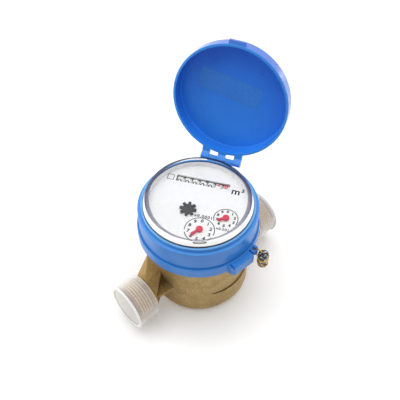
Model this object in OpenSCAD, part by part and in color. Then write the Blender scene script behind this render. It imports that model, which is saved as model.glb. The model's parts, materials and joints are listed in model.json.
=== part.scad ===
// Single-jet dry-dial water meter with a hinged lid and thread protection caps.
// The pipe lies along X, the register axis is Z and the flat base stands on Z = 0.

/* [Body casting] */
// Length over the two threaded ends
meter_length = 115; // [105:1:130]
// Height of the pipe axis above the base
pipe_z = 20.5; // [18:0.5:22]
// Outer radius of the body drum
body_r = 31.6; // [30.8:0.1:33]
// Rounding between the drum and its base
body_round = 6; // [2:0.5:9]
// Underside height of the casting's top flange
body_flange_z = 55; // [52:0.5:60]
// Thickness of the top flange
body_flange_t = 3; // [2:0.5:4]
// Thickness of the drum's floor
floor_t = 7; // [5:0.5:8]
// Radius of the impeller chamber
chamber_r = 22; // [21:0.5:23.5]
// Radius of the seat bore over the chamber
seat_bore_r = 27.5; // [26.5:0.5:28.5]
// Height of the seat for the pressure plate
plate_seat_z = 33; // [32:0.5:36]
// Radius of the flow bores
bore_r = 7.5; // [6:0.5:9]
// Radius of the tangential jets
jet_r = 4.5; // [3:0.25:4.75]
// Angle of the jets to the pipe axis
jet_angle = 30; // [26:1:32]
// Height of the step where the volute ends
volute_z = 21; // [18:0.5:25]
// Offset of the volute from the drum's axis
volute_shift = 1.6; // [0.5:0.1:2.5]
// Direction of the outlet volute
volute_az = -35; // [-50:1:-20]

/* [Necks and threads] */
// Crest radius of the end thread
thread_r = 13.22; // [12:0.02:15]
// Thread pitch
thread_pitch = 1.814; // [1.2:0.002:2.2]
// Thread depth
thread_depth = 1.16; // [0.6:0.02:1.4]
// Threaded length of each end
thread_l = 13.9; // [10:0.1:16]
// Corner radius of the hexagonal neck at the thread
hex_r = 11.75; // [11:0.25:13]
// Near edge of the neck where it meets the drum
neck_near = 2; // [0.5:0.25:2.5]
// Width of the neck where it meets the drum
neck_w = 14; // [13:0.5:18]
// Height of the neck above and below the pipe axis at the drum
neck_h = 13; // [11:0.5:14]
// Thickness of the horizontal web beside each neck
web_t = 2; // [1.5:0.25:4]
// Reach of the web from the pipe axis
web_reach = 10.3; // [9:0.1:12]
// Radius of the wire hole in the web
web_hole_r = 1.1; // [0.6:0.1:1.3]

/* [Wet side] */
// Tip radius of the impeller
impeller_r = 20; // [16:0.25:20.5]
// Number of impeller vanes
vanes = 8; // [5:1:12]
// Vane thickness
vane_t = 1.4; // [0.8:0.1:2]
// Gap under the vanes
impeller_gap = 3; // [1:0.5:4]
// Radius of the pivot pin
pivot_r = 1.25; // [0.8:0.05:1.8]
// Radius of the drive magnet
magnet_r = 8; // [6:0.25:8.5]
// Height of the drive magnet
magnet_h = 3.6; // [2:0.2:4]
// Thickness of the pressure plate
plate_t = 5; // [4.5:0.25:6]
// Wall of the plate between the magnets
plate_thin = 2; // [1.6:0.1:2.4]
// Section radius of the plate's sealing ring
o_ring_r = 1; // [0.7:0.1:1.2]
// Height of the locking ring
lock_t = 4; // [3:0.5:6]
// Length of the inlet strainer
strainer_l = 12; // [8:0.5:14]
// Wall of the strainer
strainer_t = 0.8; // [0.6:0.1:1.2]

/* [Register train] */
// Turn of the dial about the register axis
dial_turn = -55.8; // [-90:0.1:0]
// Thickness of the register cup's floor
cup_floor_t = 1.6; // [1.2:0.1:2]
// Height of the space for the gear train
train_h = 13.4; // [13.2:0.1:15]
// Outer radius of the well for the follower magnet
well_r = 9.2; // [8.6:0.1:9.4]
// Wall of the well
well_t = 1; // [0.8:0.1:1.4]
// Height of the magnetic shield
shield_h = 9; // [5:0.5:14]
// Radius of the follower magnet
follower_r = 7.5; // [5:0.25:7.75]
// Height of the follower magnet
follower_h = 4; // [3:0.25:6]
// Radius of the arbors
arbor_r = 0.5; // [0.35:0.05:0.6]
// Height of one gear
gear_t = 1.2; // [0.8:0.1:1.3]
// Height step from one gear level to the next
level_step = 1.6; // [1.5:0.05:1.7]
// Share of half the tooth pitch that a tooth fills
tooth_fill = 0.78; // [0.6:0.01:0.85]
// Radius of the star wheel on the design dial
star_reach = 5.2; // [4:0.1:6]
// Star wheel arbor across and up the design dial
star_place = [-4.7, -6.3]; // [-24:0.1:24]
// First idler across and up the design dial
idler1_place = [5.2, -8.4]; // [-24:0.1:24]
// Fine pointer across and up the design dial
fine_place = [5.7, -19.1]; // [-24:0.1:24]
// Second idler across and up the design dial
idler2_place = [10.85, -11.65]; // [-24:0.1:24]
// Coarse pointer across and up the design dial
coarse_place = [18.8, -7.2]; // [-24:0.1:24]
// Third idler across and up the design dial
idler3_place = [17.6, 4.2]; // [-24:0.1:24]

/* [Counter] */
// Number of rollers
rollers = 7; // [5:1:7]
// Right end of the row of rollers across the design dial
row_end = 15.7; // [14:0.1:16]
// Middle of the row of rollers up the design dial
row_height = 16.95; // [16:0.05:17.5]
// Step from roller to roller on the design dial
row_step = 4.93; // [4.8:0.01:5]
// Radius of a roller's drum on the design dial
drum_r = 5.2; // [4.9:0.05:5.3]
// Width of a roller's drum as a share of the step
drum_share = 0.61; // [0.5:0.01:0.62]
// Width of a roller's gear as a share of the step
gear_share = 0.2; // [0.16:0.01:0.21]
// Radius of the counter's shafts
shaft_r = 0.65; // [0.5:0.05:0.8]
// Direction of the carry shaft from the roller shaft
carry_angle = -50; // [-70:1:-40]

/* [Dial and glass] */
// Outer radius of the dial, which the glass, the shroud and the lid follow
dial_r = 31.4; // [28:0.1:36]
// Length of the fine pointer on the design dial
fine_reach = 5.8; // [3:0.1:6.6]
// Rest angle of the fine pointer
fine_angle = 233; // [0:1:360]
// Length of the coarse pointer on the design dial
coarse_reach = 4.6; // [3:0.1:5.4]
// Rest angle of the coarse pointer
coarse_angle = 213; // [0:1:360]
// Radius of the pointers' hubs
pointer_hub = 2; // [1.2:0.1:2.4]
// Thickness of the dial
dial_t = 1; // [0.6:0.1:1.5]
// Height of the dial's rim above its face
dial_rim_h = 3; // [1:0.25:3.4]
// Free height over the dial
glass_gap = 4; // [3.6:0.1:6]
// Thickness of the glass
glass_t = 2.55; // [2:0.05:4]
// Width of the slope round the glass
glass_bevel = 1.8; // [0.5:0.1:3]
// Height that the glass stands above the shroud's rim
glass_proud = 5.05; // [2:0.05:6]
// Wall of the glass
glass_wall = 2; // [1.5:0.1:2.1]
// Height of the gasket under the glass
gasket_t = 1; // [0.6:0.1:1.6]

/* [Case and lid] */
// Wall of the shroud's rim round the glass
rim_wall = 1; // [0.8:0.1:2]
// Wall of the clamp band
band_wall = 2.1; // [1.5:0.1:4]
// Height of the clamp band
band_h = 7.6; // [6.5:0.1:9]
// Thickness of the lip under the clamp band
band_lip_t = 1.6; // [1:0.1:2.5]
// Direction of the seal lug
lug_az = -74.5; // [-90:0.5:-60]
// Direction of the flat block beside the seal lug
block_az = -91.2; // [-110:0.1:-80]
// Length of the flat block
block_l = 16.4; // [12:0.1:20]
// How far the flat block stands out
block_proud = 3.9; // [2:0.1:5]
// Height of the lid's seat below the top of the glass
seat_drop = 7.85; // [6.5:0.05:8]
// Direction of the hinge
hinge_az = 28.3; // [0:0.1:60]
// Distance of the hinge pin from the shroud's wall
hinge_out = 3.5; // [3:0.1:5]
// Depth of the hinge pin below the lid's seat
hinge_drop = 0.9; // [0.5:0.1:1.5]
// Radius of the hinge pin
pin_r = 0.9; // [0.6:0.05:1.1]
// Radius of the hinge knuckles
knuckle_r = 1.9; // [1.7:0.05:2]
// Width of one knuckle
knuckle_w = 5.2; // [4:0.1:6]
// Wall of the lid
lid_wall = 1.6; // [1.2:0.1:1.7]
// Thickness of the lid's top
lid_top_t = 1.8; // [1.2:0.1:3]
// Rounding of the lid's top edge
lid_round = 3.5; // [2:0.25:4]
// Angle to which the lid stands open
lid_open = 106.2; // [95:0.1:112]
// Width of the thumb tab
tab_w = 10.5; // [6:0.5:16]
// Reach of the thumb tab
tab_l = 2.2; // [1:0.1:4]
// Thickness of the thumb tab
tab_t = 1.8; // [1:0.1:3]
// Radius of the seal wire
wire_r = 0.45; // [0.25:0.05:0.6]
// Radius of the loop of seal wire
wire_loop_r = 3.1; // [3:0.1:4]
// Radius of the crimped seal
seal_r = 3.2; // [2.4:0.1:4]
// Length of the crimped seal
seal_l = 12; // [8:0.5:14]

/* [Caps] */
// Wall of the caps
cap_wall = 1; // [0.8:0.1:1.6]
// Thickness of a cap's closed end
cap_end_t = 1.5; // [1:0.1:2.5]
// How far a cap widens to its bead
cap_flare = 0.9; // [0.4:0.1:1.5]
// How far the inlet cap stands short of its seat
inlet_cap_out = 1.4; // [0:0.1:3]
// Width of the bead round the closed end
cap_bead_w = 2.2; // [1:0.1:4]

/* [Hidden] */
$fn = 64;
// Running clearance of pivots, free clearance of neighbours and clearance of fitted pieces
run_gap = 0.05;
free_gap = 0.3;
fit_gap = 0.1;
set_gap = 0.02;
// Overlap that joins the solids of one piece
join = 0.5;

// Places on the dial scale with its radius
design_r = 31.4;
dial_scale = dial_r / design_r;
star_at = star_place * dial_scale;
star_r = star_reach * dial_scale;
idler1_at = idler1_place * dial_scale;
fine_at = fine_place * dial_scale;
idler2_at = idler2_place * dial_scale;
coarse_at = coarse_place * dial_scale;
idler3_at = idler3_place * dial_scale;
row_right = row_end * dial_scale;
row_up = row_height * dial_scale;
roller_step = row_step * dial_scale;
roller_r = drum_r * dial_scale;
drum_w = drum_share * roller_step;
roller_gear_w = gear_share * roller_step;

half_length = meter_length / 2;
neck_start = half_length - thread_l;
neck_join = body_r - 1.6;
web_z = pipe_z + 2.5;
web_hole_at = [-neck_join - 5.7, -neck_near - 3.2];
jet_start = neck_start - 2;
jet_end = chamber_r * 0.45;
body_top = body_flange_z + body_flange_t;

plate_r = seat_bore_r - 0.2;
plate_top = plate_seat_z + plate_t;
well_bore_r = well_r - well_t;
recess_r = well_r + 2.3;
well_floor = plate_seat_z + plate_thin + free_gap;
follower_z = well_floor + well_t + 0.5;
vane_z = floor_t + impeller_gap;
magnet_top = plate_seat_z - 1.1;
magnet_z = magnet_top - magnet_h;
hub_r = 4;
magnet_bore_r = 3;
top_pivot_r = 1;
pin_root = 3;
pin_deep = 6;

train_z = body_top + cup_floor_t;
bridge_z = train_z + train_h;
bridge_t = 1.2;
sleeve_r = arbor_r + 0.5;
pivot_low = body_top + 0.5;
pivot_high = bridge_z + 0.9;
dial_seat = bridge_z + bridge_t;
dial_z = dial_seat + 1.4;
dial_face = dial_z + dial_t;
pointer_z = dial_face + 0.6;
pointer_t = 1;
arbor_top = pointer_z + 0.6;
glass_under = dial_face + glass_gap;
glass_top = glass_under + glass_t;
rim_z = glass_top - glass_proud;
lid_seat_z = glass_top - seat_drop;

dial_gap = 0.5;
glass_bore_r = dial_r + dial_gap;
glass_r = glass_bore_r + glass_wall;
glass_top_r = glass_r - glass_bevel;
rim_bore_r = glass_r + fit_gap;
rebate_r = rim_bore_r + rim_wall;
lid_bore_r = rebate_r + free_gap;
lid_r = lid_bore_r + lid_wall;
shroud_r = lid_r + 0.2;
flange_r = rim_bore_r + 0.5;
shroud_bore_r = flange_r + free_gap;
cup_bore_r = flange_r - 1.5;
flange_top = lid_seat_z - 1.3;
flange_z = flange_top - 1.5;
cup_top = flange_z - gasket_t;
lid_rim_z = lid_seat_z + free_gap;
lid_under = glass_top + 1.45;
lid_top = lid_under + lid_top_t;
lid_corner = 0.8;
edge_round = 0.4;
spigot_r = shroud_r - 1;
band_bore_r = spigot_r + fit_gap;
band_r = band_bore_r + band_wall;
body_flange_r = spigot_r;
band_z = body_flange_z - band_lip_t;
band_top = band_z + band_h;
shroud_z = band_top + free_gap;

hinge_r = shroud_r + hinge_out;
hinge_z = lid_seat_z - hinge_drop;
knuckle_gap = 0.2;
knuckle_pitch = knuckle_w + knuckle_gap;
ear_deep = 7;
arm_high = 4.5;

cap_bore_r = thread_r + free_gap;
cap_r = cap_bore_r + cap_wall;
cap_in = half_length + free_gap;
cap_out = cap_in + cap_end_t;
cap_rim = neck_start;

block_r = band_r + block_proud;
block_chamfer = 2;
slot_w = 0.8;
slot_deep = 1.6;
lug_hole_at = band_r + 1.9;
lug_hole_r = 1.25;
lug_disc_r = 2.6;
lug_neck_w = 4.4;
lug_top = band_top - 0.1;
lug_t = 3.2;
loop_at = lug_hole_at + wire_loop_r + 0.15;
loop_z = lug_top - lug_t / 2;
seal_at = loop_at + wire_loop_r + 0.4;
seal_top = loop_z + 2.2;

// Teeth of each pair in the train: driver, follower
pair1 = [8, 40];
pair2 = [8, 64];
pair3 = [8, 40];
pair4 = [8, 40];
pair5 = [10, 20];
pair6 = [8, 48];
pair7 = [24, 16];
contrate_teeth = 8;
crown_teeth = 20;
roller_teeth = 20;
carry_teeth = 8;
addendum = 0.8;
dedendum = 1.05;
pressure_angle = 20;

counter_z = dial_z - 0.2 - roller_r;
roller_m = 2 * (roller_r - 0.6) / (roller_teeth + 2 * addendum);
carry_d = roller_m * (roller_teeth + carry_teeth) / 2;
crown_r = roller_r - 1;
crown_pitch = 2 * PI * crown_r / crown_teeth;
contrate_r = crown_pitch * contrate_teeth / (2 * PI);
crown_base = 0.4;
crown_tooth = 0.8;
crown_tooth_w = 0.36;
crown_half = 0.5;
drive_at = [row_right + crown_base + crown_tooth / 2 + contrate_r, row_up];
drum_in = fit_gap + roller_gear_w;
lug_side_w = 0.14 * roller_step;
row_left = row_right - rollers * roller_step;
cheek_t = 1;
left_cheek = row_left - 0.5 - cheek_t;
right_cheek = drive_at[0] + 2.6;
pillars = [[-27, 8], [-17, -21], [24.5, -17]] * dial_scale;
pillar_r = 1.5;

brass = [0.62, 0.52, 0.33];
blue = [0.16, 0.42, 0.82];
steel = [0.7, 0.7, 0.72];
dark = [0.13, 0.13, 0.15];
white = [0.93, 0.93, 0.93];
cream = [0.85, 0.82, 0.74];
red = [0.8, 0.12, 0.1];
clear = [0.85, 0.9, 0.95, 0.4];

// Shared shapes

// Ring of rectangular section
module ring(r_in, r_out, z0, z1) {
    rotate_extrude() translate([r_in, z0]) square([r_out - r_in, z1 - z0]);
}

// Disc between two heights
module disc(r, z0, z1) {
    translate([0, 0, z0]) cylinder(r = r, h = z1 - z0);
}

// Half section of a disc with a rounded lower or upper edge
module rounded_half(r, h, round_low, round_high) {
    translate([0, round_low]) square([r, h - round_low - round_high]);
    square([r - round_low, h / 2]);
    translate([0, h / 2]) square([r - round_high, h / 2]);
    if (round_low > 0) intersection() {
        translate([r - round_low, round_low]) circle(round_low);
        square([r, h]);
    }
    if (round_high > 0) intersection() {
        translate([r - round_high, h - round_high]) circle(round_high);
        square([r, h]);
    }
}

// Rod along X from x0 to x1
module rod_x(r, x0, x1) {
    translate([x0, 0, 0]) rotate([0, 90, 0]) cylinder(r = r, h = x1 - x0);
}

module dial_frame() {
    rotate([0, 0, dial_turn]) children();
}

module at(p, z = 0) {
    translate([p[0], p[1], z]) children();
}

// The counter's own frame: local z runs to the right along the row
module counter_frame(u = 0) {
    dial_frame() translate([u, row_up, counter_z]) rotate([90, 0, 90]) children();
}

// The hinge's own frame: local x points outwards and local y lies along the pin
module hinge_frame() {
    rotate([0, 0, hinge_az]) translate([hinge_r, 0, hinge_z]) children();
}

module opened(angle) {
    hinge_frame() rotate([0, angle, 0]) translate([-hinge_r, 0, -hinge_z]) rotate([0, 0, -hinge_az])
        children();
}

// Gears

function level(k) = train_z + 0.6 + (k - 1) * level_step;
function gear_m(p, q, pair) = 2 * norm(q - p) / (pair[0] + pair[1]);
function heading(p, q) = atan2(q[1] - p[1], q[0] - p[0]);
// Phase that sets a follower's gap against a driver's tooth
function mesh_phase(angle, z_driver, z_follower) =
    angle + 180 + 180 / z_follower + angle * z_driver / z_follower;
function tooth_half(m, from_pitch) = PI * m / 4 * tooth_fill - from_pitch * tan(pressure_angle);
function tooth_angle(r, half) = asin(half / r);
function gear_points(teeth, m) =
    let (pitch_r = teeth * m / 2, tip = pitch_r + addendum * m, root = pitch_r - dedendum * m)
    [for (i = [0:teeth - 1], c = [[root, -1], [tip, -1], [tip, 1], [root, 1]])
        let (a = i * 360 / teeth + c[1] * tooth_angle(c[0], tooth_half(m, c[0] - pitch_r)))
        [c[0] * cos(a), c[0] * sin(a)]];

module spur(teeth, m, phase = 0, h = gear_t) {
    linear_extrude(h) rotate(phase) polygon(gear_points(teeth, m));
}

// Gear of a pair on its own arbor at a level
module driver_gear(p, q, pair, k) {
    at(p, level(k)) spur(pair[0], gear_m(p, q, pair));
}

module follower_gear(p, q, pair, k) {
    at(q, level(k)) spur(pair[1], gear_m(p, q, pair), mesh_phase(heading(p, q), pair[0], pair[1]));
}

module arbor(p, z0, z1, r = arbor_r) {
    at(p, z0) cylinder(r = r, h = z1 - z0);
}

// Bore of a sleeve that turns on a fixed stud
module stud_bore(p) {
    at(p, train_z - 1) cylinder(r = arbor_r + run_gap, h = train_h + 2);
}

// Casting

module volute() {
    volute_low = 0.6;
    volute_edge = 0.4;
    rotate([0, 0, volute_az]) translate([volute_shift, 0, volute_low])
        rotate_extrude() rounded_half(body_r, volute_z - volute_low, body_round + 1, volute_edge);
}

module neck() {
    hull() {
        translate([-neck_start - 2 * join, 0, pipe_z]) rotate([0, 90, 0])
            cylinder(r = hex_r, h = join, $fn = 6);
        translate([-neck_join, neck_near, pipe_z - neck_h]) cube([join, neck_w, 2 * neck_h]);
    }
}

module neck_web() {
    translate([0, 0, web_z]) linear_extrude(web_t) polygon([
        [-neck_start, 0], [-neck_start, -web_reach + 1.8], [-neck_start + 6, -web_reach + 0.4],
        [-sqrt(body_r ^ 2 - web_reach ^ 2) + join, -web_reach], [-neck_join + 3, 0]]);
}

module thread_end() {
    turns = floor((thread_l - 2) / thread_pitch);
    translate([-half_length, 0, pipe_z]) rotate([0, 90, 0]) rotate_extrude() polygon(concat(
        [[0, 0], [thread_r - thread_depth, 0]],
        [for (i = [0:turns - 1], c = [[0.5, 0], [0.85, 1], [1.15, 1], [1.5, 0]])
            [thread_r - thread_depth * (1 - c[1]), (i + c[0]) * thread_pitch]],
        [[thread_r - thread_depth, thread_l], [0, thread_l]]));
}

// Straight bore of one end
module bore_way() {
    translate([0, 0, pipe_z]) rod_x(bore_r, -half_length - 1, -jet_start + 1);
}

// Jet from the end of the bore into the chamber
module jet_way() {
    translate([-jet_start - 1, 1, pipe_z]) rotate([0, 0, jet_angle]) rod_x(jet_r, 0, jet_start - jet_end);
}

module both_ends() {
    children();
    mirror([1, 0, 0]) children();
}

// Everything beyond the inner end of one straight bore
module end_space() {
    translate([-half_length - 1, -body_r, 0]) cube([half_length + 1 - jet_start, 2 * body_r, body_top]);
}

module meter_body() {
    color(brass) difference() {
        union() {
            rotate_extrude() rounded_half(body_r, body_top, body_round, 0);
            disc(body_flange_r, body_flange_z, body_top);
            volute();
            both_ends() neck();
            both_ends() neck_web();
        }
        disc(chamber_r, floor_t, plate_seat_z + 1);
        disc(seat_bore_r, plate_seat_z, body_top + 1);
        disc(pivot_r + set_gap, floor_t - pin_root, floor_t + 1);
        both_ends() jet_way();
        both_ends() end_space();
        both_ends() at(web_hole_at) disc(web_hole_r, web_z - 1, web_z + web_t + 1);
    }
}

// Threaded end of the casting, from the inner end of its straight bore
module spigot() {
    color(brass) difference() {
        union() {
            intersection() {
                union() {
                    neck();
                    neck_web();
                }
                end_space();
            }
            thread_end();
        }
        bore_way();
    }
}

module inlet_spigot() {
    spigot();
}

module outlet_spigot() {
    mirror([1, 0, 0]) spigot();
}

module inlet_strainer() {
    strainer_r = bore_r - fit_gap;
    hole_ring = strainer_r - 3;
    color(white) translate([-half_length + 0.5, 0, pipe_z]) rotate([0, 90, 0]) difference() {
        cylinder(r = strainer_r, h = strainer_l);
        translate([0, 0, -1]) cylinder(r = strainer_r - strainer_t, h = strainer_l + 1 - strainer_t);
        cylinder(r = 1, h = strainer_l + 1);
        for (i = [0:5]) rotate([0, 0, i * 60]) translate([hole_ring, 0, 0])
            cylinder(r = 1, h = strainer_l + 1);
    }
}

// Wet side

module pivot_pin() {
    color(steel) disc(pivot_r, floor_t - pin_root, vane_z + pin_deep);
}

module impeller() {
    vane_low = vane_z + 0.4;
    vane_top = magnet_z - 1.5;
    color(cream) difference() {
        union() {
            disc(hub_r, vane_z, magnet_z);
            disc(magnet_bore_r - set_gap, magnet_z - join, magnet_top);
            disc(top_pivot_r, magnet_top - join, plate_seat_z + plate_thin - 1.2);
            for (i = [0:vanes - 1]) rotate([0, 0, (i + 0.5) * 360 / vanes])
                translate([hub_r - join, -vane_t / 2, vane_low])
                    cube([impeller_r - hub_r + join, vane_t, vane_top - vane_low]);
        }
        disc(pivot_r + run_gap, vane_z - 1, vane_z + pin_deep + 0.2);
    }
}

module drive_magnet() {
    color(dark) ring(magnet_bore_r, magnet_r, magnet_z, magnet_top);
}

module pressure_plate() {
    groove_z = plate_seat_z + plate_t / 2;
    groove_r = plate_r - 2 * o_ring_r;
    color(cream) difference() {
        disc(plate_r, plate_seat_z, plate_top);
        disc(recess_r, plate_seat_z + plate_thin, plate_top + 1);
        disc(top_pivot_r + run_gap, plate_seat_z - 1, plate_seat_z + plate_thin - 1);
        ring(groove_r, plate_r + 1, groove_z - o_ring_r - set_gap, groove_z + o_ring_r + set_gap);
    }
}

module plate_o_ring() {
    middle = [plate_r - o_ring_r + set_gap, plate_seat_z + plate_t / 2];
    color(dark) rotate_extrude() translate(middle) circle(o_ring_r);
}

module locking_ring() {
    lock_bore_r = recess_r + 4;
    key_ring = (lock_bore_r + plate_r) / 2;
    key_hole_r = 1.6;
    color(brass) difference() {
        ring(lock_bore_r, plate_r, plate_top, plate_top + lock_t);
        for (i = [0:3]) rotate([0, 0, i * 90]) translate([key_ring, 0, 0])
            disc(key_hole_r, plate_top - 1, plate_top + lock_t + 1);
    }
}

module magnetic_shield() {
    shield_z = plate_seat_z + plate_thin;
    color(steel) ring(well_r + free_gap, recess_r - fit_gap, shield_z, shield_z + shield_h);
}

// Register train

module register_cup() {
    color(cream) difference() {
        union() {
            disc(flange_r, body_top, train_z);
            ring(cup_bore_r, flange_r, body_top, cup_top);
            disc(well_r, well_floor, body_top + join);
            dial_frame() {
                for (p = pillars) at(p, body_top) cylinder(r = pillar_r, h = bridge_z - body_top);
                arbor(drive_at, body_top, counter_z - crown_r + crown_half + 0.6);
                arbor(idler2_at, body_top, level(4) + gear_t + 0.2);
                arbor(idler3_at, body_top, level(2) + gear_t + 0.2);
            }
        }
        disc(well_bore_r, well_floor + well_t, train_z + 1);
        disc(arbor_r + run_gap, well_floor + well_t - 0.5, well_floor + well_t + 1);
        dial_frame() for (p = [star_at, fine_at, coarse_at])
            at(p, pivot_low - fit_gap) cylinder(r = arbor_r + run_gap, h = 3);
    }
}

module follower_magnet() {
    color(dark) ring(arbor_r + set_gap, follower_r, follower_z, follower_z + follower_h);
}

module follower_arbor() {
    color(steel) dial_frame() {
        arbor([0, 0], well_floor + well_t - 0.5 + fit_gap, pivot_high);
        arbor([0, 0], follower_z - 0.3, follower_z, 1.2);
        driver_gear([0, 0], star_at, pair1, 7);
        driver_gear([0, 0], idler1_at, pair2, 6);
    }
}

module star_arbor() {
    color(white) dial_frame() {
        arbor(star_at, pivot_low, arbor_top);
        follower_gear([0, 0], star_at, pair1, 7);
    }
}

// Blind bore of a hub that is pressed on an arbor's end
module hub_bore() {
    translate([0, 0, -1]) cylinder(r = arbor_r + set_gap, h = arbor_top - pointer_z + 1 + fit_gap);
}

module leak_star() {
    arms = 8;
    hub = star_r * 0.64;
    arm_half = star_r * 0.14;
    outline = [[hub, -1.25], [star_r, -1], [star_r, 1], [hub, 1.25]];
    color(dark) dial_frame() at(star_at, pointer_z) difference() {
        linear_extrude(pointer_t) polygon([for (i = [0:arms - 1], c = outline)
            let (a = i * 360 / arms + tooth_angle(c[0], c[1] * arm_half)) [c[0] * cos(a), c[0] * sin(a)]]);
        hub_bore();
    }
}

// Sleeve on a stud under the bridge
module first_idler() {
    color(white) dial_frame() difference() {
        union() {
            arbor(idler1_at, level(5), bridge_z - fit_gap, sleeve_r);
            follower_gear([0, 0], idler1_at, pair2, 6);
            driver_gear(idler1_at, fine_at, pair3, 5);
        }
        stud_bore(idler1_at);
    }
}

module fine_pointer_arbor() {
    color(white) dial_frame() {
        arbor(fine_at, pivot_low, arbor_top);
        follower_gear(idler1_at, fine_at, pair3, 5);
        driver_gear(fine_at, idler2_at, pair4, 4);
    }
}

// Sleeve on a stud of the cup
module second_idler() {
    color(white) dial_frame() difference() {
        union() {
            arbor(idler2_at, train_z + fit_gap, level(4) + gear_t, sleeve_r);
            follower_gear(fine_at, idler2_at, pair4, 4);
            driver_gear(idler2_at, coarse_at, pair5, 3);
        }
        stud_bore(idler2_at);
    }
}

module coarse_pointer_arbor() {
    color(white) dial_frame() {
        arbor(coarse_at, pivot_low, arbor_top);
        follower_gear(idler2_at, coarse_at, pair5, 3);
        driver_gear(coarse_at, idler3_at, pair6, 2);
    }
}

// Sleeve on a stud of the cup
module third_idler() {
    color(white) dial_frame() difference() {
        union() {
            arbor(idler3_at, train_z + fit_gap, level(2) + gear_t, sleeve_r);
            follower_gear(coarse_at, idler3_at, pair6, 2);
            driver_gear(idler3_at, drive_at, pair7, 1);
        }
        stud_bore(idler3_at);
    }
}

// Sleeve on a fixed stud, with the pinion that drives the crown of the first roller
module counter_drive() {
    color(white) dial_frame() difference() {
        union() {
            arbor(drive_at, train_z + fit_gap, counter_z - crown_r + crown_half, contrate_r - 0.6);
            follower_gear(idler3_at, drive_at, pair7, 1);
            at(drive_at, counter_z - crown_r - crown_half)
                linear_extrude(2 * crown_half) polygon(contrate_points());
        }
        stud_bore(drive_at);
    }
}

function contrate_points() =
    let (tip = contrate_r + 0.3, root = contrate_r - 0.58, half = 0.2)
    [for (i = [0:contrate_teeth - 1], c = [[root, -1], [tip, -0.7], [tip, 0.7], [root, 1]])
        let (a = i * 360 / contrate_teeth + tooth_angle(c[0], c[1] * half)) [c[0] * cos(a), c[0] * sin(a)]];

// Pointer with a round hub and a stem that widens to its tip
module pointer(p, reach, angle) {
    stem = 0.45;
    head = 0.8;
    color(red) dial_frame() at(p, pointer_z) difference() {
        rotate([0, 0, angle]) linear_extrude(pointer_t) {
            circle(pointer_hub);
            polygon([[0, -stem], [reach, -head], [reach + head, 0], [reach, head], [0, stem]]);
        }
        hub_bore();
    }
}

module fine_pointer() {
    pointer(fine_at, fine_reach * dial_scale, fine_angle);
}

module coarse_pointer() {
    pointer(coarse_at, coarse_reach * dial_scale, coarse_angle);
}

module cheek(u) {
    across = roller_r + 1;
    drop = roller_r + 1.4;
    translate([u, row_up - 2, counter_z - drop]) cube([cheek_t, across, bridge_z - counter_z + drop + join]);
}

module gear_bridge() {
    window_half = roller_r - 0.2;
    window_left = row_left - free_gap;
    window_right = row_right + crown_base + crown_tooth + free_gap;
    passing = [[0, 0], star_at, fine_at, coarse_at];
    color(cream) difference() {
        union() {
            disc(dial_r - fit_gap, bridge_z, dial_seat);
            dial_frame() cheek(left_cheek);
            dial_frame() cheek(right_cheek);
            dial_frame() arbor(idler1_at, level(5) - 0.2, bridge_z + join);
            dial_frame() arbor(idler1_at, level(5) - 0.3, level(5) - fit_gap, sleeve_r - 0.1);
        }
        dial_frame() {
            translate([window_left, row_up - window_half, bridge_z - 1])
                cube([window_right - window_left, 2 * window_half, bridge_t + 2]);
            for (p = passing) at(p, bridge_z - 1) cylinder(r = arbor_r + run_gap, h = 4);
        }
        counter_frame(left_cheek - 1) cylinder(r = shaft_r + set_gap, h = right_cheek - left_cheek + 4);
        counter_frame(left_cheek - 1) rotate(carry_angle) translate([carry_d, 0, 0])
            cylinder(r = shaft_r + set_gap, h = right_cheek - left_cheek + 4);
    }
}

module counter_shaft() {
    color(steel) counter_frame(left_cheek) cylinder(r = shaft_r, h = right_cheek + cheek_t - left_cheek);
}

module carry_shaft() {
    color(steel) counter_frame(left_cheek) rotate(carry_angle) translate([carry_d, 0, 0])
        cylinder(r = shaft_r, h = right_cheek + cheek_t - left_cheek);
}

// Roller number k counts from the right, and its local z runs to the right
module counter_roller(k) {
    right = row_right - (k - 1) * roller_step;
    lug_low = roller_m * roller_teeth / 2 - 1;
    color(white) counter_frame(right) difference() {
        union() {
            translate([0, 0, -drum_in - drum_w]) cylinder(r = roller_r, h = drum_w);
            translate([0, 0, -drum_in - drum_w - lug_side_w])
                cylinder(r = roller_r - 1.8, h = lug_side_w + join);
            for (a = [-9, 9]) rotate(180 + a) translate([lug_low, -0.3, -drum_in - drum_w - lug_side_w])
                cube([roller_r - 0.5 - lug_low, 0.6, lug_side_w + join]);
            if (k == 1) roller_crown();
            else translate([0, 0, -drum_in]) spur(roller_teeth, roller_m, 0, roller_gear_w);
        }
        translate([0, 0, -roller_step]) cylinder(r = shaft_r + run_gap, h = 2 * roller_step);
    }
}

module roller_crown() {
    translate([0, 0, -drum_in - join]) cylinder(r = crown_r + crown_half, h = drum_in + join + crown_base);
    for (i = [0:crown_teeth - 1]) rotate((i + 0.5) * 360 / crown_teeth - 90)
        translate([crown_r - crown_half, -crown_tooth_w / 2, 0])
            cube([2 * crown_half, crown_tooth_w, crown_base + crown_tooth]);
}

// Carry pinion number k gears into roller k + 1
module carry_pinion(k) {
    right = row_right - k * roller_step;
    tooth_w = roller_gear_w - 0.2;
    color(cream) counter_frame(right) rotate(carry_angle) translate([carry_d, 0, 0]) difference() {
        union() {
            translate([0, 0, -drum_in + fit_gap]) rotate(-carry_angle)
                spur(carry_teeth, roller_m, mesh_phase(carry_angle, roller_teeth, carry_teeth), tooth_w);
            translate([0, 0, -drum_in + fit_gap]) cylinder(r = 1.1, h = drum_in + 0.6);
        }
        translate([0, 0, -roller_step]) cylinder(r = shaft_r + run_gap, h = 2 * roller_step);
    }
}

// Dial, glass and case

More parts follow.
